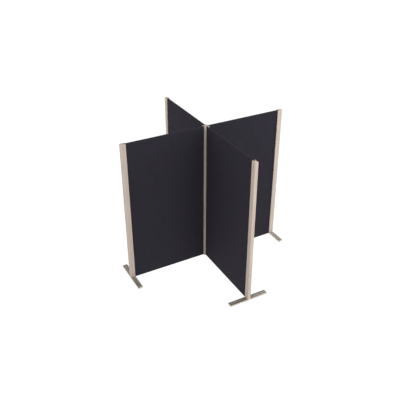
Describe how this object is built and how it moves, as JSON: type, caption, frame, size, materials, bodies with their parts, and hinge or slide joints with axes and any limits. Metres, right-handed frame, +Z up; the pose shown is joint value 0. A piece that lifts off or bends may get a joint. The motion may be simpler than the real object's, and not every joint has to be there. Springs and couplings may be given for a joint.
{
  "type": "acoustic divider screen",
  "caption": "Free-standing acoustic screen: slim fabric panels set in a plus into a grooved timber centre post, each wing ending in a timber post on a flat bar foot.",
  "frame": {"origin": "on the floor, on the axis of the centre post", "axes": "+Z up; +X out along the wing called right and +Y out along the wing called back, so left is -X and front is -Y"},
  "size_m": [2.1, 2.1, 1.8],
  "materials": {
    "post_timber": "matt white-oiled",
    "frame_timber": "planed, untreated",
    "cover_cloth": "woven wool, charcoal",
    "core_felt": "pressed polyester felt",
    "foot_steel": "satin",
    "cam_zinc": "die-cast zinc",
    "zinc_plated_steel": "zinc plated",
    "pad_rubber": "matt"
  },
  "bodies": {
    "root": {"end_post_right": "post_timber", "foot_right": "foot_steel", "fabric_cover_right": "cover_cloth", "outer_stile_right": "frame_timber", "inner_stile_right": "frame_timber", "bottom_rail_right": "frame_timber", "middle_rail_right": "frame_timber", "top_rail_right": "frame_timber", "upper_core_right": "core_felt", "lower_core_right": "core_felt", "end_post_back": "post_timber", "foot_back": "foot_steel", "fabric_cover_back": "cover_cloth", "outer_stile_back": "frame_timber", "inner_stile_back": "frame_timber", "bottom_rail_back": "frame_timber", "middle_rail_back": "frame_timber", "top_rail_back": "frame_timber", "upper_core_back": "core_felt", "lower_core_back": "core_felt", "end_post_left": "post_timber", "foot_left": "foot_steel", "fabric_cover_left": "cover_cloth", "outer_stile_left": "frame_timber", "inner_stile_left": "frame_timber", "bottom_rail_left": "frame_timber", "middle_rail_left": "frame_timber", "top_rail_left": "frame_timber", "upper_core_left": "core_felt", "lower_core_left": "core_felt", "end_post_front": "post_timber", "foot_front": "foot_steel", "fabric_cover_front": "cover_cloth", "outer_stile_front": "frame_timber", "inner_stile_front": "frame_timber", "bottom_rail_front": "frame_timber", "middle_rail_front": "frame_timber", "top_rail_front": "frame_timber", "upper_core_front": "core_felt", "lower_core_front": "core_felt", "centre_post": "post_timber", "keyhole_plates": "zinc_plated_steel", "plate_screws": "zinc_plated_steel", "hook_bolts": "zinc_plated_steel", "cam_bolts": "zinc_plated_steel", "cam_locks": "cam_zinc", "foot_screws": "zinc_plated_steel", "foot_pads": "pad_rubber"}
  },
  "joints": []
}
